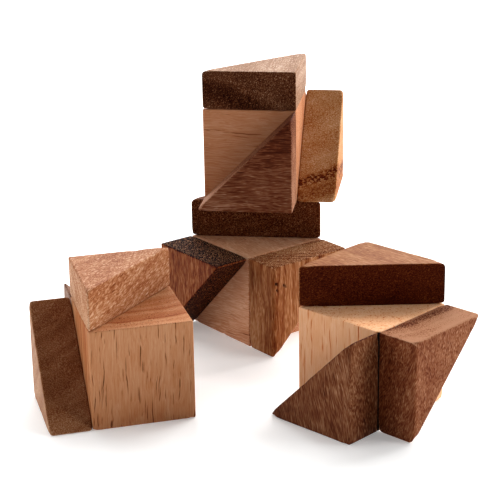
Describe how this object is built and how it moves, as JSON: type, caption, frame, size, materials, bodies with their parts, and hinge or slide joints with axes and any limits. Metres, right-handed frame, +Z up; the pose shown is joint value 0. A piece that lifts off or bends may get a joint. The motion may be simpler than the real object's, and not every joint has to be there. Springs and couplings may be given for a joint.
{
  "type": "wooden burr puzzle",
  "caption": "Take-apart wooden puzzle shown in loose pieces, each a pale cube with darker triangular slabs glued to its faces, with one piece standing on another.",
  "frame": {"origin": "centre of the underside of the middle piece's cube, on the table", "axes": "+Z up out of the table, +Y away from the two front pieces towards the middle piece's back, +X to the right"},
  "size_m": [0.1516, 0.1454, 0.099],
  "materials": {
    "pale_wood": "fine sanded pale wood under a thin satin oil",
    "dark_wood": "dark brown open-pored heartwood, satin oil",
    "red_brown_wood": "red-brown open-pored heartwood, satin oil",
    "amber_wood": "amber open-pored heartwood, satin oil",
    "brown_wood": "smooth brown heartwood, satin oil"
  },
  "bodies": {
    "middle_piece": {"middle_cube": "pale_wood", "middle_upper_slab": "dark_wood", "middle_left_slab": "red_brown_wood", "middle_right_slab": "amber_wood"},
    "top_piece": {"top_cube": "pale_wood", "top_upper_slab": "dark_wood", "top_front_slab": "red_brown_wood", "top_side_slab": "amber_wood"},
    "left_piece": {"left_cube": "pale_wood", "left_upper_slab": "amber_wood", "left_side_slab": "brown_wood", "left_back_slab": "brown_wood"},
    "right_piece": {"right_cube": "pale_wood", "right_upper_slab": "dark_wood", "right_left_slab": "red_brown_wood", "right_right_slab": "red_brown_wood"}
  },
  "joints": [
    {"name": "top_piece_lift", "type": "slide", "parent": "middle_piece", "child": "top_piece", "axis": [0, 0, 1], "range_m": [0, 0.08]},
    {"name": "left_piece_slide", "type": "slide", "parent": "middle_piece", "child": "left_piece", "axis": [-0.5046, -0.8634, 0], "range_m": [-0.024, 0.04]},
    {"name": "right_piece_slide", "type": "slide", "parent": "middle_piece", "child": "right_piece", "axis": [0.4597, -0.8881, 0], "range_m": [-0.024, 0.04]}
  ]
}
